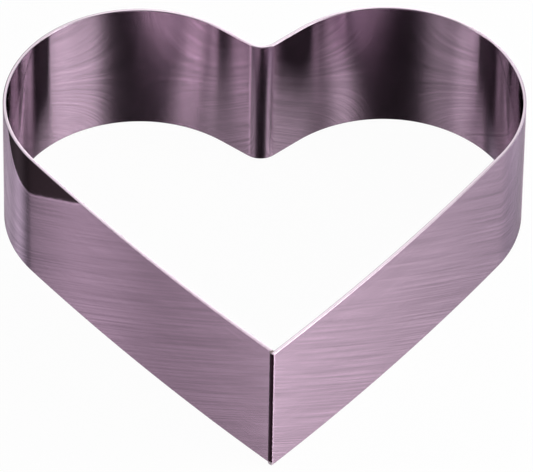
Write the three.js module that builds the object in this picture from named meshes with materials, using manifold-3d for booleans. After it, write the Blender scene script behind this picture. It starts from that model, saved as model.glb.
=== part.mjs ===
// Heart cake ring: one steel strip bent into a heart and welded at its pointed corner.
// Millimetres. The ring stands on z = 0 with its tip towards -Y and its cleft towards +Y.

import * as THREE from 'three';
import { mergeVertices } from 'three/addons/utils/BufferGeometryUtils.js';
import Module from 'manifold-3d';

const degrees = THREE.MathUtils.degToRad;

// Strip
const BAND_HEIGHT = 45;
const SHEET_THICKNESS = 1;
const RIM_ROUNDING = 0.15;

// Plan, measured on the outside face of the strip
const LOBE_RADIUS = 40;
const CLEFT_RADIUS = 8;
const CLEFT_HALF_TURN = degrees(49);
const TIP_DISTANCE = 104;
const SIDE_BOW_RADIUS = 830;

// Corner where the strip's ends meet: the right end laps past the left one
const END_OVERRUN = 0.4;
const WELD_GAP = 0.8;
const SEAT_CLEARANCE = 0.05;

// Weld bead, a row of overlapping puddles, with a tack at each end of the seam
const PUDDLE_PITCH = 2;
const PUDDLE_LENGTH = 2.8;
const PUDDLE_WIDTH = 1.5;
const BEAD_RECESS = 0.12;
const TACK_LENGTH = 2.4;
const TACK_WIDTH = 1.8;
const TACK_PROUD = 0.2;

// Facets
const LOBE_STEP = degrees(3);
const CLEFT_STEP = degrees(6);
const SIDE_STEP = degrees(0.5);
const RIM_SEGMENTS = 2;
const PUDDLE_SIDES = 12;
const PUDDLE_RINGS = 8;

const wasm = await Module();
wasm.setup();

// A flat polar offset from a centre
function polar(centre, radius, angle) {
  const offset = new THREE.Vector2(Math.cos(angle), Math.sin(angle));
  return offset.multiplyScalar(radius).add(centre);
}

// Points along an arc, both ends included
function arcPoints({ centre, radius, from, to, step }) {
  const count = Math.max(1, Math.ceil(Math.abs(to - from) / step));
  const points = [];
  for (let i = 0; i <= count; i += 1) {
    points.push(polar(centre, radius, from + ((to - from) * i) / count));
  }
  return points;
}

// Centres of the tangent arcs on the right half, with the lobe centres on the X axis
const tangentReach = LOBE_RADIUS + CLEFT_RADIUS;
const lobeCentre = new THREE.Vector2(tangentReach * Math.sin(CLEFT_HALF_TURN), 0);
const cleftCentre = new THREE.Vector2(0, tangentReach * Math.cos(CLEFT_HALF_TURN));
const corner = new THREE.Vector2(0, -TIP_DISTANCE);

// The side passes through the corner and runs into the lobe without a kink
function findSideCentre() {
  const toLobe = lobeCentre.clone().sub(corner);
  const span = toLobe.length();
  const reach = SIDE_BOW_RADIUS - LOBE_RADIUS;
  const along = (span ** 2 + SIDE_BOW_RADIUS ** 2 - reach ** 2) / (2 * span);
  const aside = Math.sqrt(SIDE_BOW_RADIUS ** 2 - along ** 2);
  const direction = toLobe.divideScalar(span);
  const inward = new THREE.Vector2(-direction.y, direction.x);
  return corner.clone().addScaledVector(direction, along).addScaledVector(inward, aside);
}

const sideCentre = findSideCentre();
const cornerAngle = corner.clone().sub(sideCentre).angle() - 2 * Math.PI;
const lobeStart = lobeCentre.clone().sub(sideCentre).angle() - 2 * Math.PI;
const lobeEnd = Math.PI / 2 + CLEFT_HALF_TURN;
const cleftStart = CLEFT_HALF_TURN - Math.PI / 2;

// Right half of one face of the strip, from its end at the corner to the middle of the cleft
function halfFace(inset, endAngle) {
  const side = {
    centre: sideCentre,
    radius: SIDE_BOW_RADIUS - inset,
    from: endAngle,
    to: lobeStart,
    step: SIDE_STEP,
  };
  const lobe = {
    centre: lobeCentre,
    radius: LOBE_RADIUS - inset,
    from: lobeStart,
    to: lobeEnd,
    step: LOBE_STEP,
  };
  const cleft = {
    centre: cleftCentre,
    radius: CLEFT_RADIUS + inset,
    from: cleftStart,
    to: -Math.PI / 2,
    step: CLEFT_STEP,
  };
  return [...arcPoints(side), ...arcPoints(lobe).slice(1), ...arcPoints(cleft).slice(1)];
}

// The corner's own directions: along each side away from the corner, and into each wall
const tipHalfAngle = -cornerAngle;
const tipAngle = 2 * tipHalfAngle;
const leftAlong = new THREE.Vector2(-Math.sin(tipHalfAngle), Math.cos(tipHalfAngle));
const leftInward = new THREE.Vector2(Math.cos(tipHalfAngle), Math.sin(tipHalfAngle));

// How far along the left side a point lies that is a given depth in that wall
// and a given distance behind the right wall's outside face
function alongLeft(depth, behindRight) {
  return (behindRight + depth * Math.cos(tipAngle)) / Math.sin(tipAngle);
}

// The left end is cut square and keeps the weld gap at the nearer of its two corners
const gapFace = SHEET_THICKNESS + WELD_GAP;
const leftEnd = Math.max(alongLeft(0, gapFace), alongLeft(SHEET_THICKNESS, gapFace));
const rightEndAngle = cornerAngle - END_OVERRUN / SIDE_BOW_RADIUS;
const leftEndAngle = cornerAngle + leftEnd / SIDE_BOW_RADIUS;

function mirrored(points) {
  return points.map((p) => new THREE.Vector2(-p.x, p.y)).reverse();
}

// One face of the whole strip, from the right end round the heart to the left end
function wholeFace(inset) {
  const right = halfFace(inset, rightEndAngle);
  const left = halfFace(inset, leftEndAngle);
  return [...right, ...mirrored(left).slice(1)];
}

function heartBandGeometry() {
  const ribbon = new THREE.Shape([...wholeFace(0), ...wholeFace(SHEET_THICKNESS).reverse()]);
  const geometry = new THREE.ExtrudeGeometry(ribbon, {
    depth: BAND_HEIGHT - 2 * RIM_ROUNDING,
    bevelThickness: RIM_ROUNDING,
    bevelSize: RIM_ROUNDING,
    bevelOffset: -RIM_ROUNDING,
    bevelSegments: RIM_SEGMENTS,
  });
  return geometry.translate(0, 0, RIM_ROUNDING);
}

// Solids for joining and cutting
function toSolid(geometry) {
  const bare = geometry.clone();
  bare.deleteAttribute('normal');
  bare.deleteAttribute('uv');
  const merged = mergeVertices(bare, 1e-5);
  const vertProperties = new Float32Array(merged.attributes.position.array);
  const triVerts = new Uint32Array(merged.index.array);
  return new wasm.Manifold(new wasm.Mesh({ numProp: 3, vertProperties, triVerts }));
}

function toGeometry(solid) {
  const mesh = solid.getMesh();
  const geometry = new THREE.BufferGeometry();
  geometry.setAttribute('position', new THREE.BufferAttribute(mesh.vertProperties, 3));
  geometry.setIndex(new THREE.BufferAttribute(mesh.triVerts, 1));
  geometry.computeVertexNormals();
  return geometry;
}

// A place in the weld slot, by its distance along the left side and its depth in that wall
function slotPoint(along, depth) {
  return corner.clone().addScaledVector(leftAlong, along).addScaledVector(leftInward, depth);
}

const slotBack = SHEET_THICKNESS - SEAT_CLEARANCE;
const slotLeft = leftEnd - SEAT_CLEARANCE;

function slotRight(depth) {
  return alongLeft(depth, SHEET_THICKNESS + SEAT_CLEARANCE);
}

// The slot between the strip's two ends, from a given depth to the inside face
function slotSolid(frontDepth) {
  const outline = new THREE.Shape([
    slotPoint(slotRight(frontDepth), frontDepth),
    slotPoint(slotRight(slotBack), slotBack),
    slotPoint(slotLeft, slotBack),
    slotPoint(slotLeft, frontDepth),
  ]);
  const options = { depth: BAND_HEIGHT, bevelEnabled: false };
  return toSolid(new THREE.ExtrudeGeometry(outline, options));
}

// One frozen puddle of weld metal, as deep as it is given and centred in the slot
function puddleSolid({ width, length, frontDepth, height }) {
  const semiDepth = (slotBack - frontDepth) / 2;
  const middle = (slotBack + frontDepth) / 2;
  const place = slotPoint((slotLeft + slotRight(middle)) / 2, middle);
  const geometry = new THREE.SphereGeometry(1, PUDDLE_SIDES, PUDDLE_RINGS);
  geometry.rotateX(Math.PI / 2);
  geometry.scale(width / 2, semiDepth, length / 2);
  geometry.rotateZ(leftAlong.angle());
  geometry.translate(place.x, place.y, height);
  return toSolid(geometry);
}

function seamWeldGeometry() {
  const first = TACK_LENGTH + SEAT_CLEARANCE + PUDDLE_LENGTH / 2;
  const run = BAND_HEIGHT - 2 * first;
  const count = Math.max(1, Math.round(run / PUDDLE_PITCH));
  let bead = null;
  for (let i = 0; i <= count; i += 1) {
    const puddle = puddleSolid({
      width: PUDDLE_WIDTH,
      length: PUDDLE_LENGTH,
      frontDepth: BEAD_RECESS,
      height: first + (run * i) / count,
    });
    bead = bead ? bead.add(puddle) : puddle;
  }
  return toGeometry(bead.intersect(slotSolid(BEAD_RECESS)));
}

function tackGeometry(height) {
  const tack = puddleSolid({
    width: TACK_WIDTH,
    length: TACK_LENGTH,
    frontDepth: -TACK_PROUD,
    height,
  });
  return toGeometry(tack.intersect(slotSolid(-TACK_PROUD)));
}

// Finishes
function steel(color, roughness) {
  return new THREE.MeshStandardMaterial({ color, roughness, metalness: 1 });
}

const ring = new THREE.Group();
ring.name = 'heart_cake_ring';

function addPiece(name, geometry, material) {
  const mesh = new THREE.Mesh(geometry, material);
  mesh.name = name;
  ring.add(mesh);
}

addPiece('heart_band', heartBandGeometry(), steel('#b8a3b3', 0.15));
addPiece('seam_weld', seamWeldGeometry(), steel('#3b2b33', 0.6));
addPiece('upper_tack', tackGeometry(BAND_HEIGHT - TACK_LENGTH / 2), steel('#8f7a6c', 0.5));
addPiece('lower_tack', tackGeometry(TACK_LENGTH / 2), steel('#a8949f', 0.45));

// The origin lies under the middle of the ring's box
const foremost = TIP_DISTANCE + END_OVERRUN * Math.cos(tipHalfAngle);
ring.position.y = (foremost - LOBE_RADIUS) / 2;

export default ring;
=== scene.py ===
# Heart cake ring: a polished steel band, its welded corner and a small studio.
# Metres, in the part's own frame: +Z up, the tip towards -Y, the cleft towards +Y.

import math

import bmesh
import bpy
import numpy as np
from mathutils import Matrix, Vector


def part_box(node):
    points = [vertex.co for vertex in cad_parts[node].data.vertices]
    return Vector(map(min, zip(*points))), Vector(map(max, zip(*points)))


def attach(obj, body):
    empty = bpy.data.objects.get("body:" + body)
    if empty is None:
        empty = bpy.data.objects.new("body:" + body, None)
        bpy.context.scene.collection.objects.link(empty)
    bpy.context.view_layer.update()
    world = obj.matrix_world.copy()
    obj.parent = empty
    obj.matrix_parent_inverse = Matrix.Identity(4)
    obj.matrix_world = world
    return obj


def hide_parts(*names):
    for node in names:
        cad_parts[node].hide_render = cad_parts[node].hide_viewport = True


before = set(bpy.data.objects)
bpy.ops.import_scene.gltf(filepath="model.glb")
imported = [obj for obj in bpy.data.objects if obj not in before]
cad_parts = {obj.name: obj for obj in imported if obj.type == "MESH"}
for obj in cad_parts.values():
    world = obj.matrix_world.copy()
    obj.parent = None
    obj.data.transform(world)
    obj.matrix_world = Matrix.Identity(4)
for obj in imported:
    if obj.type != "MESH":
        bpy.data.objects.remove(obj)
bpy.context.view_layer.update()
band_low, band_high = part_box("heart_band")

MM = 0.001

# Strip
BAND_HEIGHT = band_high.z - band_low.z
SHEET_THICKNESS = 1.0 * MM
RIM_ROUNDING = 0.2 * MM
END_ROUNDING = 0.12 * MM

# Plan, measured on the outside face of the strip
LOBE_RADIUS = 40.0 * MM
LOBE_SPREAD = 36.226 * MM
CLEFT_RADIUS = 5.0 * MM
CLEFT_LOW = 23.491 * MM
TIP_DISTANCE = 104.0 * MM
SIDE_BOW_RADIUS = 830.0 * MM

# Corner where the ends meet: the right end laps past the left one, with a dressed outer edge
END_OVERRUN = 0.4 * MM
WELD_GAP = 0.8 * MM
DRESSED_LENGTH = 0.8 * MM
DRESSED_TILT = math.radians(16.0)

# Weld bead, which fills the gap and covers the right strip's cut end
BEAD_LOW = 1.2 * MM
BEAD_HIGH = 44.7 * MM
BEAD_COVER = 0.12 * MM
BEAD_EDGE = 0.3 * BEAD_COVER
BEAD_CROWN = 2.6 * BEAD_COVER
BEAD_LAP = 0.03 * MM
BEAD_LIFT = 0.2 * BEAD_LAP
BEAD_LEAN = 0.35 * WELD_GAP
BEAD_LEAN_DEPTH = 0.45
BEAD_SCALLOP = 0.28 * MM
BEAD_DEPTH = 0.7 * MM
RIPPLE_PITCH = 1.9 * MM
RIPPLE_HEIGHT = 0.09 * MM
RIPPLE_BOW = 0.5 * MM
RIPPLE_SWAY = 0.3 * MM
RIPPLE_SWAY_LENGTH = 2.3 * RIPPLE_PITCH
RIPPLE_SWELL = (0.35, -0.9)

# Tacks: places and radii along the left wall, into it and upward
TOP_TACK_PLACE = (1.0 * MM, 0.2 * MM, 44.75 * MM)
TOP_TACK_RADII = (0.9 * MM, 0.7 * MM, 0.5 * MM)
FOOT_TACK_PLACE = (0.75 * MM, 0.0, 0.7 * MM)
FOOT_TACK_RADII = (0.85 * MM, 0.72 * MM, 0.8 * MM)
TACK_UNEVENNESS = 0.06

# Mesh fineness
SIDE_STEP = math.radians(0.12)
LOBE_STEP = math.radians(1.25)
CLEFT_STEP = math.radians(2.5)
FLANK_STEPS = 8
WALL_ROWS = 10
ROUND_STEPS = 4
RIM_HOLD = 0.3
END_FLAT = 0.05 * MM
DRESSED_STEPS = 6
BEAD_ROW = 0.12 * MM
BEAD_STEPS = 14
TACK_FINENESS = 4
UV_UNIT = 100.0 * MM

# Noise
NOISE_LOW = 0.3
NOISE_HIGH = 0.7
NOISE_ROUGHNESS = 0.6
LINE_DETAIL = 2.0
SPOT_DETAIL = 3.0
GRAIN_FINENESS = 6

# Steel, with each kind of line given by its pitch and its length
STEEL_COLOUR = (0.64, 0.54, 0.615)
STEEL_ROUGHNESS = 0.045
WANDER_LINES = (9 * MM, 28 * MM)
HAIR_LINES = (0.16 * MM, 9 * MM)
STREAK_LINES = (0.8 * MM, 22 * MM)
PATCH_LINES = (14 * MM, 40 * MM)
LINE_WANDER = 0.5 * MM
HAIR_TILT = 0.002
STREAK_TILT = 0.0015
STREAK_TONE = (0.96, 1.04)
PATCH_TONE = (0.97, 1.03)
HAIR_HAZE = (0.85, 1.15)
PATCH_HAZE = (0.9, 1.2)
# The dressed edge's lighter tone is a painted highlight; its tilt catches real light too.
DRESSED_EDGE_HIGHLIGHT = 1.12

# Tray that the ring stands on, and the table beside it, seen in the metal alone; the table's dark part
# is painted shade and the tray's left edge has a painted highlight
TRAY_COLOUR = (0.64, 0.535, 0.615)
TRAY_ROUGHNESS = 0.25
TRAY_SPREAD = 0.9
TRAY_LINES = (0.46 * MM, 32 * MM)
TRAY_LINE_TONE = (0.79, 1.21)
TRAY_BANDS = (6 * MM, 120 * MM)
TRAY_BAND_TONE = (0.95, 1.05)
TRAY_LEFT = -99.5 * MM
# The strip along the tray's left edge is brightened in colour: a painted highlight.
TRAY_EDGE = 0.8 * MM
TRAY_EDGE_PAINTED_GLINT = 0.4
TRAY_REACH = 0.6
TRAY_LEVEL = -0.15 * MM
TABLE_LEVEL = -0.3 * MM
# Painted shade: the table's dark colour beside the tray stands for the tray's shadow.
TABLE_SHADE_COLOUR = (0.06, 0.047, 0.05)
TABLE_DARK_TO = -126.0 * MM
TABLE_PALE_FROM = -190.0 * MM

# Camera
CAMERA_PLACE = Vector((-68.8 * MM, -1773.15 * MM, 1754.54 * MM))
CAMERA_PITCH = math.radians(44.325)
CAMERA_YAW = math.radians(2.22)
CAMERA_ROLL = math.radians(-0.972)
FOCAL_PIXELS = 8547.9
IMAGE_WIDTH = 533
SENSOR_WIDTH = 36.0

# Floor and light
FLOOR_REACH = 4.0
FLOOR_LEVEL = -0.4 * MM
FLOOR_COLOUR = (0.9, 0.9, 0.9)
FLOOR_SHADOW_SHARE = 0.03
WORLD_STRENGTH = 0.002
WHITE = (1.0, 1.0, 1.0)
COOL_WHITE = (0.92, 0.94, 1.0)
MAUVE_WHITE = (1.0, 0.93, 1.0)

# Soft boxes: name, azimuth, elevation, distance, width, height, level and colour
SOFT_BOXES = [
    ("front_right", 43, 46, 0.74, 0.3, 0.3, 1.35, WHITE),
    ("right_front", 66, 46, 0.7, 0.4, 0.28, 0.42, WHITE),
    ("right", 95, 46, 0.74, 0.6, 0.28, 1.4, WHITE),
    ("right_back", 125, 46, 0.7, 0.5, 0.28, 0.12, COOL_WHITE),
    ("key_wide", 70, 24, 0.72, 1.0, 0.26, 5.0, WHITE),
    ("key", 70, 24, 0.66, 0.5, 0.25, 4.9, WHITE),
    ("right_low", 125, 24, 0.7, 1.0, 0.26, 2.5, COOL_WHITE),
    ("back_low", 168, 24, 0.74, 0.6, 0.26, 5.8, WHITE),
    ("back", 178, 46.4, 0.8, 0.6, 0.22, 1.55, WHITE),
    ("back_left", 215, 46, 0.7, 0.35, 0.28, 1.05, COOL_WHITE),
    ("left_back", 237, 44, 0.74, 0.3, 0.4, 1.3, COOL_WHITE),
    ("left_far", 259.5, 44, 0.7, 0.17, 0.5, 1.15, MAUVE_WHITE),
    ("left", 270, 44, 0.68, 0.18, 0.5, 0.52, MAUVE_WHITE),
    ("left_side", 284, 44, 0.72, 0.3, 0.5, 0.66, WHITE),
    ("left_low", 285, 22, 0.64, 0.4, 0.2, 4.6, MAUVE_WHITE),
    ("left_front", 300, 44, 0.69, 0.3, 0.4, 0.42, WHITE),
    ("left_corner", 316, 45, 0.73, 0.25, 0.35, 0.66, WHITE),
    ("front_low", 0, 18, 0.75, 0.8, 0.2, 1.2, WHITE),
    ("left_back_low", 230, 20, 0.76, 0.6, 0.22, 1.0, WHITE),
    ("top", 0, 86, 0.8, 0.5, 0.5, 0.3, WHITE),
]

# Columns of a station on the outside face: x, y, outward normal x, y and length along the strip
PLACE = slice(0, 2)
LENGTH = 4


# Plan of the band
def polar(centre, radius, angle):
    return np.array([centre[0] + radius * math.cos(angle), centre[1] + radius * math.sin(angle)])


def bearing(vector):
    return math.atan2(vector[1], vector[0])


def find_side_centre(lobe_centre, corner):
    """Centre of the bowed side, which passes through the corner and runs into the lobe."""
    to_lobe = lobe_centre - corner
    span = np.linalg.norm(to_lobe)
    reach = SIDE_BOW_RADIUS - LOBE_RADIUS
    along = (span**2 + SIDE_BOW_RADIUS**2 - reach**2) / (2 * span)
    aside = math.sqrt(SIDE_BOW_RADIUS**2 - along**2)
    direction = to_lobe / span
    inward = np.array([-direction[1], direction[0]])
    return corner + along * direction + aside * inward


def find_flank_angle(lobe_centre, cleft_centre):
    """Direction in which the straight flank, which touches lobe and cleft, faces."""
    to_cleft = cleft_centre - lobe_centre
    lean = math.acos((LOBE_RADIUS + CLEFT_RADIUS) / np.linalg.norm(to_cleft))
    return bearing(to_cleft) - lean


LOBE_CENTRE = np.array([LOBE_SPREAD, 0.0])
CLEFT_CENTRE = np.array([0.0, CLEFT_LOW + CLEFT_RADIUS])
CORNER = np.array([0.0, -TIP_DISTANCE])
SIDE_CENTRE = find_side_centre(LOBE_CENTRE, CORNER)
CORNER_ANGLE = bearing(CORNER - SIDE_CENTRE)
LOBE_START = bearing(LOBE_CENTRE - SIDE_CENTRE)
FLANK_ANGLE = find_flank_angle(LOBE_CENTRE, CLEFT_CENTRE)
TIP_HALF_ANGLE = -CORNER_ANGLE
TIP_ANGLE = 2 * TIP_HALF_ANGLE
FOREMOST = TIP_DISTANCE + END_OVERRUN * math.cos(TIP_HALF_ANGLE)
PLAN_SHIFT = np.array([0.0, (FOREMOST - LOBE_RADIUS) / 2])


def arc_stations(centre, radius, start, stop, step, outward):
    """Stations along an arc of the outside face, both ends included."""
    count = max(1, math.ceil(abs(stop - start) / step))
    rows = []
    for angle in np.linspace(start, stop, count + 1):
        normal = outward * np.array([math.cos(angle), math.sin(angle)])
        rows.append([*polar(centre, radius, angle), *normal, abs(angle - start) * radius])
    return np.array(rows)


def half_stations(end_angle):
    """The right half of the outside face, from the strip's end to the middle of the cleft."""
    side = arc_stations(SIDE_CENTRE, SIDE_BOW_RADIUS, end_angle, LOBE_START, SIDE_STEP, 1)
    lobe = arc_stations(LOBE_CENTRE, LOBE_RADIUS, LOBE_START, FLANK_ANGLE, LOBE_STEP, 1)
    cleft_start = FLANK_ANGLE - math.pi
    cleft = arc_stations(CLEFT_CENTRE, CLEFT_RADIUS, cleft_start, -math.pi / 2, CLEFT_STEP, -1)
    lobe[:, LENGTH] += side[-1, LENGTH]
    flank_length = np.linalg.norm(cleft[0, PLACE] - lobe[-1, PLACE])
    cleft[:, LENGTH] += lobe[-1, LENGTH] + flank_length
    flank = np.linspace(lobe[-1], cleft[0], FLANK_STEPS + 1)
    return np.concatenate([side, lobe[1:], flank[1:], cleft[1:]])


def along_left(depth, behind_right):
    """How far along the left side a point lies, from its depth in that wall
    and its distance behind the right wall's outside face."""
    return (behind_right + depth * math.cos(TIP_ANGLE)) / math.sin(TIP_ANGLE)


GAP_FACE = SHEET_THICKNESS + WELD_GAP
LEFT_END = max(along_left(0.0, GAP_FACE), along_left(SHEET_THICKNESS, GAP_FACE))


def band_stations():
    """The whole outside face, from the right end round the heart to the left end."""
    right = half_stations(CORNER_ANGLE - END_OVERRUN / SIDE_BOW_RADIUS)
    left = half_stations(CORNER_ANGLE + LEFT_END / SIDE_BOW_RADIUS)
    total = right[-1, LENGTH] + left[-1, LENGTH]
    back = left[::-1] * [-1, 1, -1, 1, -1] + [0, 0, 0, 0, total]
    stations = np.concatenate([right, back[1:]])
    stations[:, PLACE] += PLAN_SHIFT
    return stations


def moved_station(station, along):
    """A station moved along its own tangent."""
    x, y, nx, ny, length = station
    return [x - ny * along, y + nx * along, nx, ny, length + along]


def dressing(along):
    """How much of the right end's outside face is worn away at a distance from the end."""
    radius = DRESSED_LENGTH / math.sin(DRESSED_TILT)
    inside = max(0.0, DRESSED_LENGTH - along)
    return radius - math.sqrt(radius**2 - inside**2)


def end_alongs():
    """Distances from a cut end at which the strip has a section, each with its rounding's inset."""
    turn = np.linspace(0, math.pi / 2, ROUND_STEPS + 1)
    rows = [(0.0, END_ROUNDING + END_FLAT)]
    rows += list(zip(END_ROUNDING * (1 - np.cos(turn)), END_ROUNDING * (1 - np.sin(turn))))
    rows += [(END_ROUNDING + END_FLAT, 0.0)]
    for along in np.linspace(2 * END_ROUNDING, DRESSED_LENGTH, DRESSED_STEPS):
        rows.append((along, 0.0))
    rows.append((DRESSED_LENGTH + END_FLAT, 0.0))
    return rows


def band_sections():
    """Stations with two more columns: the inset, and the depth worn away from the outside face."""
    stations = band_stations()
    rows = [[*station, 0.0, 0.0] for station in stations[1:-1]]
    for along, inset in reversed(end_alongs()):
        rows.insert(0, [*moved_station(stations[0], along), inset, dressing(along)])
    for along, inset in reversed(end_alongs()):
        rows.append([*moved_station(stations[-1], -along), inset, 0.0])
    return rows


def band_profile(inset, worn):
    """Section of the strip as depth from the outside face and height."""
    low, high = inset, BAND_HEIGHT - inset
    near, far = inset + worn, SHEET_THICKNESS - inset
    radius = RIM_ROUNDING - inset
    rise = np.linspace(low + radius, high - radius, WALL_ROWS + 1)
    hold = RIM_HOLD * radius
    wall = np.concatenate([rise[:1], [rise[0] + hold], rise[1:-1], [rise[-1] - hold], rise[-1:]])
    turn = np.linspace(0, math.pi / 2, ROUND_STEPS + 1)[1:-1]
    short = radius * (1 - np.cos(turn))
    long = radius * (1 - np.sin(turn))
    points = [(near, z) for z in wall]
    points += [(near + s, high - l) for s, l in zip(short, long)]
    flat = (near + radius, near + radius + hold, far - radius - hold, far - radius)
    points += [(depth, high) for depth in flat]
    points += [(far - l, high - s) for s, l in zip(short, long)]
    points += [(far, z) for z in wall[::-1]]
    points += [(far - s, low + l) for s, l in zip(short, long)]
    points += [(depth, low) for depth in flat[::-1]]
    points += [(near + l, low + s) for s, l in zip(short, long)]
    return np.array(points)


# Meshes
def add_object(name, data):
    piece = bpy.data.objects.new(name, data)
    bpy.context.scene.collection.objects.link(piece)
    return piece


def make_mesh_object(name, vertices, faces):
    mesh = bpy.data.meshes.new(name)
    mesh.from_pydata([tuple(v) for v in vertices], [], faces)
    mesh.validate()
    mesh.shade_smooth()
    return add_object(name, mesh)


def loft_faces(rows, ring):
    """Faces of a closed tube of rows, each a ring of points, with both ends capped."""
    faces = []
    for i in range(rows - 1):
        for j in range(ring):
            k = (j + 1) % ring
            faces.append((i * ring + j, (i + 1) * ring + j, (i + 1) * ring + k, i * ring + k))
    last = (rows - 1) * ring
    faces.append(tuple(range(ring)))
    faces.append(tuple(last + j for j in reversed(range(ring))))
    return faces


def unwrap_loft(piece, name, around, lengths):
    """A UV map with the way round the section as u and the length as v, in steps of UV_UNIT."""
    ring = len(around) - 1
    layer = piece.data.uv_layers.new(name=name)
    for face in piece.data.polygons:
        steps = [v % ring for v in face.vertices]
        closing = len(steps) == 4 and 0 in steps and ring - 1 in steps
        for corner in face.loop_indices:
            row, step = divmod(piece.data.loops[corner].vertex_index, ring)
            place = around[ring] if closing and step == 0 else around[step]
            layer.data[corner].uv = (place / UV_UNIT, lengths[row] / UV_UNIT)


def build_band():
    sections = band_sections()
    vertices = []
    for x, y, nx, ny, length, inset, worn in sections:
        for depth, height in band_profile(inset, worn):
            vertices.append((x - depth * nx, y - depth * ny, height))
    profile = band_profile(0.0, 0.0)
    edges = np.linalg.norm(np.diff(profile, axis=0, append=profile[:1]), axis=1)
    piece = make_mesh_object("steel_band", vertices, loft_faces(len(sections), len(profile)))
    around = np.concatenate([[0.0], np.cumsum(edges)])
    unwrap_loft(piece, "Strip", around, [section[LENGTH] for section in sections])
    return piece


# Weld, placed by the distance along the left side and the depth in that wall
LEFT_ALONG = np.array([-math.sin(TIP_HALF_ANGLE), math.cos(TIP_HALF_ANGLE)])
LEFT_INWARD = np.array([math.cos(TIP_HALF_ANGLE), math.sin(TIP_HALF_ANGLE)])
END_DEPTH = -END_OVERRUN * math.sin(TIP_ANGLE)
END_INNER = along_left(END_DEPTH, SHEET_THICKNESS)
END_OUTER = along_left(END_DEPTH, dressing(0.0))


def corner_point(along, depth):
    return CORNER + PLAN_SHIFT + along * LEFT_ALONG + depth * LEFT_INWARD


def ripple(height, across):
    """0 in the valleys between the weld's puddles and 1 on their crowns, bowed across the bead."""
    sway = RIPPLE_SWAY * math.sin(height / RIPPLE_SWAY_LENGTH)
    phase = (height + sway - RIPPLE_BOW * (2 * across - 1) ** 2) / RIPPLE_PITCH
    return math.sqrt(abs(math.sin(math.pi * phase)))


def bead_front(height):
    """The bead's face at a height, from the left wall over the gap to the right strip's outer edge."""
    start = np.array([LEFT_END + BEAD_LAP * ripple(height, 0.0), -BEAD_LIFT])
    lean = np.array([LEFT_END - BEAD_LEAN, BEAD_LEAN_DEPTH * END_DEPTH])
    crown = np.array([END_INNER, END_DEPTH - BEAD_CROWN])
    stop = np.array([END_OUTER, END_DEPTH - BEAD_EDGE])
    points = []
    for t in np.linspace(0, 1, BEAD_STEPS + 1):
        s = 1 - t
        point = s**3 * start + 3 * s * s * t * lean + 3 * s * t * t * crown + t**3 * stop
        swell = RIPPLE_HEIGHT * math.sin(math.pi * t) * (ripple(height, t) - 0.5)
        points.append(point + swell * np.array(RIPPLE_SWELL))
    lap = BEAD_SCALLOP * ripple(height, 1.0)
    depth = END_DEPTH + lap
    points.append((along_left(depth, dressing(lap) - BEAD_EDGE), depth))
    points.append((along_left(depth, dressing(lap) + END_FLAT), depth))
    return points


def build_bead():
    rows = round((BEAD_HIGH - BEAD_LOW) / BEAD_ROW)
    heights = np.linspace(BEAD_LOW, BEAD_HIGH, rows + 1)
    back = [
        (END_INNER, END_DEPTH + END_FLAT),
        (END_INNER + END_FLAT, BEAD_DEPTH),
        (LEFT_END - END_FLAT, BEAD_DEPTH),
        (LEFT_END - END_FLAT, 0.0),
    ]
    vertices = []
    for height in heights:
        section = [*reversed(back), *reversed(bead_front(height))]
        for along, depth in section:
            vertices.append((*corner_point(along, depth), height))
    return make_mesh_object("weld_bead", vertices, loft_faces(len(heights), len(section)))


def build_tack(name, middle, radii):
    """A frozen drop of weld metal, slightly uneven and flat where the strip's edges end."""
    along, depth, height = middle
    ball = bmesh.new()
    bmesh.ops.create_icosphere(ball, subdivisions=TACK_FINENESS, radius=1.0)
    for vertex in ball.verts:
        x, y, z = vertex.co
        uneven = 1 + TACK_UNEVENNESS * math.sin(5 * x + 2 * z) * math.cos(4 * y - 3 * z)
        place = corner_point(along + x * radii[0] * uneven, depth + y * radii[1] * uneven)
        rise = height + z * radii[2]
        rise = min(max(rise, END_FLAT), BAND_HEIGHT - END_FLAT)
        vertex.co = (*place, rise)
    # The corner's own directions are left-handed, so the faces are turned outward again
    bmesh.ops.reverse_faces(ball, faces=ball.faces)
    mesh = bpy.data.meshes.new(name)
    ball.to_mesh(mesh)
    ball.free()
    mesh.shade_smooth()
    return add_object(name, mesh)


# Materials
def new_material(name):
    """A material with an empty node tree, its tree and its surface socket."""
    material = bpy.data.materials.new(name)
    material.use_nodes = True
    tree = material.node_tree
    tree.nodes.clear()
    output = tree.nodes.new("ShaderNodeOutputMaterial")
    return material, tree, output.inputs["Surface"]


def set_input(tree, socket, value):
    """Links a socket to another node's output, or sets its value."""
    if isinstance(value, bpy.types.NodeSocket):
        tree.links.new(value, socket)
    else:
        socket.default_value = value


def add_node(tree, kind, settings=None, **inputs):
    """A node with its settings, and with values or links on its named inputs."""
    node = tree.nodes.new(kind)
    for name, value in (settings or {}).items():
        setattr(node, name, value)
    for name, value in inputs.items():
        set_input(tree, node.inputs[name.replace("_", " ")], value)
    return node


def calculate(tree, operation, *values, kind="ShaderNodeMath"):
    """The result of a sum on numbers, or on vectors with another kind of node."""
    node = add_node(tree, kind, {"operation": operation})
    for socket, value in zip(node.inputs, values):
        set_input(tree, socket, value)
    return node.outputs[0]


def combine(tree, operation, *values):
    return calculate(tree, operation, *values, kind="ShaderNodeVectorMath")


def line_noise(tree, across, along, lines):
    """Noise drawn out into lines: about one for each pitch across, each about a length long."""
    pitch, length = lines
    place = add_node(
        tree,
        "ShaderNodeCombineXYZ",
        X=calculate(tree, "MULTIPLY", across, UV_UNIT / pitch),
        Y=calculate(tree, "MULTIPLY", along, UV_UNIT / length),
    )
    noise = add_node(
        tree,
        "ShaderNodeTexNoise",
        Vector=place.outputs[0],
        Scale=1.0,
        Detail=LINE_DETAIL,
        Roughness=NOISE_ROUGHNESS,
    )
    return noise.outputs["Fac"]


def spot_noise(tree, size):
    """Noise in space, with spots of about a size."""
    place = add_node(tree, "ShaderNodeTexCoord").outputs["Object"]
    noise = add_node(tree, "ShaderNodeTexNoise", Vector=place, Scale=1 / size, Detail=SPOT_DETAIL)
    return noise.outputs["Fac"]


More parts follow.
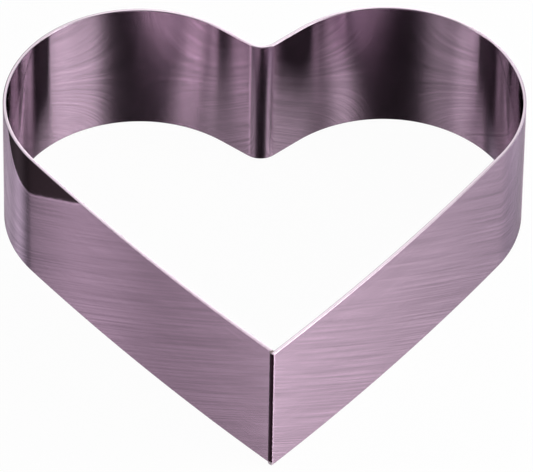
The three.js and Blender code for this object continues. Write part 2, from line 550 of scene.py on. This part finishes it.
def map_range(tree, value, source, target, interpolation="LINEAR"):
    node = add_node(
        tree,
        "ShaderNodeMapRange",
        {"interpolation_type": interpolation},
        Value=value,
        From_Min=source[0],
        From_Max=source[1],
        To_Min=target[0],
        To_Max=target[1],
    )
    return node.outputs["Result"]


def spread(tree, value, low, high):
    """A noise value mapped from its usual reach to a range."""
    return map_range(tree, value, (NOISE_LOW, NOISE_HIGH), (low, high))


def blend_colours(tree, share, first, second):
    """A blend of two colours, on the colour sockets of a Mix node."""
    node = add_node(tree, "ShaderNodeMix", {"data_type": "RGBA"})
    set_input(tree, node.inputs[0], share)
    set_input(tree, node.inputs[6], (*first, 1))
    set_input(tree, node.inputs[7], (*second, 1))
    return node.outputs[2]


def steel_material():
    """Polished strip with faint rolling lines along it, a little haze where it was handled, and a
    painted highlight on the right end's dressed edge.
    """
    material, tree, surface = new_material("polished_steel")
    uv = add_node(tree, "ShaderNodeUVMap", {"uv_map": "Strip"})
    flat = add_node(tree, "ShaderNodeSeparateXYZ", Vector=uv.outputs["UV"])
    along = flat.outputs["Y"]
    wander = line_noise(tree, flat.outputs["X"], along, WANDER_LINES)
    sway = spread(tree, wander, -LINE_WANDER / UV_UNIT, LINE_WANDER / UV_UNIT)
    across = calculate(tree, "ADD", flat.outputs["X"], sway)
    hair = line_noise(tree, across, along, HAIR_LINES)
    streak = line_noise(tree, across, along, STREAK_LINES)
    patch = line_noise(tree, across, along, PATCH_LINES)

    hair_tilt = spread(tree, hair, -HAIR_TILT, HAIR_TILT)
    streak_tilt = spread(tree, streak, -STREAK_TILT, STREAK_TILT)
    tangent = add_node(tree, "ShaderNodeTangent", {"direction_type": "UV_MAP", "uv_map": "Strip"})
    geometry = add_node(tree, "ShaderNodeNewGeometry")
    tilt = calculate(tree, "ADD", hair_tilt, streak_tilt)
    lean = combine(tree, "MULTIPLY", tangent.outputs["Tangent"], tilt)
    normal = combine(tree, "NORMALIZE", combine(tree, "ADD", geometry.outputs["Normal"], lean))

    streak_tone = spread(tree, streak, *STREAK_TONE)
    patch_tone = spread(tree, patch, *PATCH_TONE)
    tone = calculate(tree, "MULTIPLY", streak_tone, patch_tone)
    # Painted highlight: the right end's dressed edge is drawn lighter in colour.
    dressed_edge = DRESSED_LENGTH / UV_UNIT
    dressed = map_range(tree, along, (0.5 * dressed_edge, dressed_edge), (DRESSED_EDGE_HIGHLIGHT, 1.0))
    tone = calculate(tree, "MULTIPLY", tone, dressed)
    haze = calculate(tree, "MULTIPLY", spread(tree, hair, *HAIR_HAZE), spread(tree, patch, *PATCH_HAZE))
    shader = add_node(
        tree,
        "ShaderNodeBsdfPrincipled",
        Base_Color=combine(tree, "MULTIPLY", STEEL_COLOUR, tone),
        Metallic=1.0,
        Roughness=calculate(tree, "MULTIPLY", haze, STEEL_ROUGHNESS),
        Normal=normal,
    )
    tree.links.new(shader.outputs["BSDF"], surface)
    return material


def weld_material(name, dark, light, size, smooth, rough, metal):
    """Heat-tinted weld metal, mottled between two colours and two roughnesses."""
    material, tree, surface = new_material(name)
    mottle = spread(tree, spot_noise(tree, size), 0.0, 1.0)
    grain = spread(tree, spot_noise(tree, size / GRAIN_FINENESS), smooth, rough)
    shader = add_node(
        tree,
        "ShaderNodeBsdfPrincipled",
        Base_Color=blend_colours(tree, mottle, dark, light),
        Metallic=metal,
        Roughness=grain,
    )
    tree.links.new(shader.outputs["BSDF"], surface)
    return material


def floor_material():
    """White to the camera and in the metal, with a small share of plain floor for the shadow."""
    material, tree, surface = new_material("white_floor")
    path = add_node(tree, "ShaderNodeLightPath")
    seen = calculate(tree, "MAXIMUM", path.outputs["Is Camera Ray"], path.outputs["Is Glossy Ray"])
    seen = calculate(tree, "MAXIMUM", seen, path.outputs["Is Transmission Ray"])
    share = calculate(tree, "MULTIPLY", seen, 1 - FLOOR_SHADOW_SHARE)
    plain = add_node(tree, "ShaderNodeBsdfDiffuse", Color=(*FLOOR_COLOUR, 1))
    glow = add_node(tree, "ShaderNodeEmission", Color=(*WHITE, 1))
    mix = add_node(tree, "ShaderNodeMixShader", Fac=share)
    tree.links.new(plain.outputs["BSDF"], mix.inputs[1])
    tree.links.new(glow.outputs["Emission"], mix.inputs[2])
    tree.links.new(mix.outputs["Shader"], surface)
    return material


def tray_material():
    """Steel brushed from front to back, which spreads reflections to both sides, with a painted
    highlight along its left edge.
    """
    material, tree, surface = new_material("tray_steel")
    geometry = add_node(tree, "ShaderNodeNewGeometry")
    place = add_node(tree, "ShaderNodeSeparateXYZ", Vector=geometry.outputs["Position"])
    across = calculate(tree, "DIVIDE", place.outputs["X"], UV_UNIT)
    along = calculate(tree, "DIVIDE", place.outputs["Y"], UV_UNIT)
    line_tone = spread(tree, line_noise(tree, across, along, TRAY_LINES), *TRAY_LINE_TONE)
    band_tone = spread(tree, line_noise(tree, across, along, TRAY_BANDS), *TRAY_BAND_TONE)
    tone = calculate(tree, "MULTIPLY", line_tone, band_tone)
    # Painted highlight: a thin strip along the tray's left edge is made brighter in colour.
    edge = calculate(tree, "COMPARE", place.outputs["X"], TRAY_LEFT, TRAY_EDGE)
    tone = calculate(tree, "MULTIPLY_ADD", edge, TRAY_EDGE_PAINTED_GLINT, tone)
    tangent = add_node(tree, "ShaderNodeTangent", {"direction_type": "UV_MAP", "uv_map": "Sheet"})
    shader = add_node(
        tree,
        "ShaderNodeBsdfPrincipled",
        Base_Color=combine(tree, "MULTIPLY", TRAY_COLOUR, tone),
        Metallic=1.0,
        Roughness=TRAY_ROUGHNESS,
        Anisotropic=TRAY_SPREAD,
        Tangent=tangent.outputs["Tangent"],
    )
    tree.links.new(shader.outputs["BSDF"], surface)
    return material


def table_material():
    """Painted shade: dark beside the tray, as if in the tray's shadow, and as pale as the tray further
    off.
    """
    material, tree, surface = new_material("table_painted_shade")
    geometry = add_node(tree, "ShaderNodeNewGeometry")
    place = add_node(tree, "ShaderNodeSeparateXYZ", Vector=geometry.outputs["Position"])
    fade = (TABLE_PALE_FROM, TABLE_DARK_TO)
    shade = map_range(tree, place.outputs["X"], fade, (0.0, 1.0), "SMOOTHSTEP")
    shader = add_node(
        tree,
        "ShaderNodeBsdfPrincipled",
        Base_Color=blend_colours(tree, shade, TRAY_COLOUR, TABLE_SHADE_COLOUR),
        Metallic=1.0,
        Roughness=TRAY_ROUGHNESS,
    )
    tree.links.new(shader.outputs["BSDF"], surface)
    return material


# Stage
def make_sheet(name, west, east, reach, height, material):
    """A flat level sheet of the studio."""
    corners = [(west, -reach), (east, -reach), (east, reach), (west, reach)]
    sheet = make_mesh_object(name, [(x, y, height) for x, y in corners], [(0, 1, 2, 3)])
    layer = sheet.data.uv_layers.new(name="Sheet")
    for corner, place in zip(layer.data, corners):
        corner.uv = place
    sheet.data.materials.append(material)
    return sheet


def show_to_metal_alone(sheet):
    """Leaves a sheet to glossy rays, so that it shows as a reflection and nowhere else."""
    sheet.visible_camera = False
    sheet.visible_diffuse = False
    sheet.visible_shadow = False
    sheet.visible_transmission = False


def make_world():
    world = bpy.data.worlds.new("studio")
    bpy.context.scene.world = world
    world.use_nodes = True
    background = world.node_tree.nodes["Background"]
    background.inputs["Color"].default_value = (*WHITE, 1)
    background.inputs["Strength"].default_value = WORLD_STRENGTH


def soften_sides(data):
    """Lets a soft box fade from its middle to its two upright edges."""
    data.use_nodes = True
    tree = data.node_tree
    geometry = add_node(tree, "ShaderNodeNewGeometry")
    place = add_node(tree, "ShaderNodeSeparateXYZ", Vector=geometry.outputs["Parametric"])
    wave = calculate(tree, "SINE", calculate(tree, "MULTIPLY", place.outputs["X"], math.pi))
    glow = calculate(tree, "MULTIPLY", wave, wave)
    tree.links.new(glow, tree.nodes["Emission"].inputs["Strength"])


def make_softbox(name, azimuth, elevation, distance, width, height, level, colour):
    """A soft box round the ring: azimuth 0 is the camera's side, 90 the right, level 1 is white."""
    turn, rise = math.radians(azimuth), math.radians(elevation)
    flat = math.cos(rise)
    away = Vector((math.sin(turn) * flat, -math.cos(turn) * flat, math.sin(rise)))
    data = bpy.data.lights.new(name, "AREA")
    data.shape = "RECTANGLE"
    data.size = width
    data.size_y = height
    data.energy = level * math.pi * width * height
    data.color = colour
    soften_sides(data)
    lamp = add_object(name, data)
    lamp.location = away * distance
    lamp.rotation_euler = away.to_track_quat("Z", "Y").to_euler()
    lamp.visible_camera = False


def make_camera():
    """A camera in front of the ring that looks down on it."""
    flat = math.cos(CAMERA_PITCH)
    heading = (math.sin(CAMERA_YAW) * flat, math.cos(CAMERA_YAW) * flat)
    forward = Vector((*heading, -math.sin(CAMERA_PITCH)))
    level = Vector((math.cos(CAMERA_YAW), -math.sin(CAMERA_YAW), 0))
    upright = level.cross(forward)
    right = math.cos(CAMERA_ROLL) * level - math.sin(CAMERA_ROLL) * upright
    up = math.sin(CAMERA_ROLL) * level + math.cos(CAMERA_ROLL) * upright
    data = bpy.data.cameras.new("camera")
    data.sensor_width = SENSOR_WIDTH
    data.lens = FOCAL_PIXELS * SENSOR_WIDTH / IMAGE_WIDTH
    camera = add_object("camera", data)
    turn = Matrix((right, up, -forward)).transposed()
    camera.matrix_world = Matrix.Translation(CAMERA_PLACE) @ turn.to_4x4()
    bpy.context.scene.camera = camera


def finish_piece(piece, material, node):
    """Gives a piece its material, and lets it stand for a node of the frame."""
    piece.data.materials.append(material)
    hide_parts(node)
    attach(piece, "root")


# Pieces of the ring
finish_piece(build_band(), steel_material(), "heart_band")

# The bead's near-black colour is the weld's heat tint and also painted shade for the narrow gap it
# fills.
bead_tint_and_shade = weld_material(
    "dark_weld",
    dark=(0.02, 0.006, 0.012),
    light=(0.06, 0.024, 0.04),
    size=1.2 * MM,
    smooth=0.4,
    rough=0.6,
    metal=1.0,
)
finish_piece(build_bead(), bead_tint_and_shade, "seam_weld")

top_finish = weld_material(
    "brown_tack",
    dark=(0.26, 0.18, 0.17),
    light=(0.55, 0.45, 0.46),
    size=0.8 * MM,
    smooth=0.3,
    rough=0.45,
    metal=0.3,
)
top_tack = build_tack("top_tack", TOP_TACK_PLACE, TOP_TACK_RADII)
finish_piece(top_tack, top_finish, "upper_tack")

foot_finish = weld_material(
    "pale_tack",
    dark=(0.74, 0.64, 0.70),
    light=(0.90, 0.81, 0.86),
    size=0.8 * MM,
    smooth=0.25,
    rough=0.4,
    metal=0.3,
)
foot_tack = build_tack("foot_tack", FOOT_TACK_PLACE, FOOT_TACK_RADII)
finish_piece(foot_tack, foot_finish, "lower_tack")

# Studio
make_camera()
make_sheet("floor", -FLOOR_REACH, FLOOR_REACH, FLOOR_REACH, FLOOR_LEVEL, floor_material())
# The table's dark part is painted shade, seen in the metal alone.
table = make_sheet("table_painted_shade", -TRAY_REACH, TRAY_REACH, TRAY_REACH, TABLE_LEVEL, table_material())
tray = make_sheet("tray", TRAY_LEFT, TRAY_REACH, TRAY_REACH, TRAY_LEVEL, tray_material())
show_to_metal_alone(table)
show_to_metal_alone(tray)
make_world()
for soft_box in SOFT_BOXES:
    make_softbox(*soft_box)

bpy.context.scene.view_settings.view_transform = "Standard"
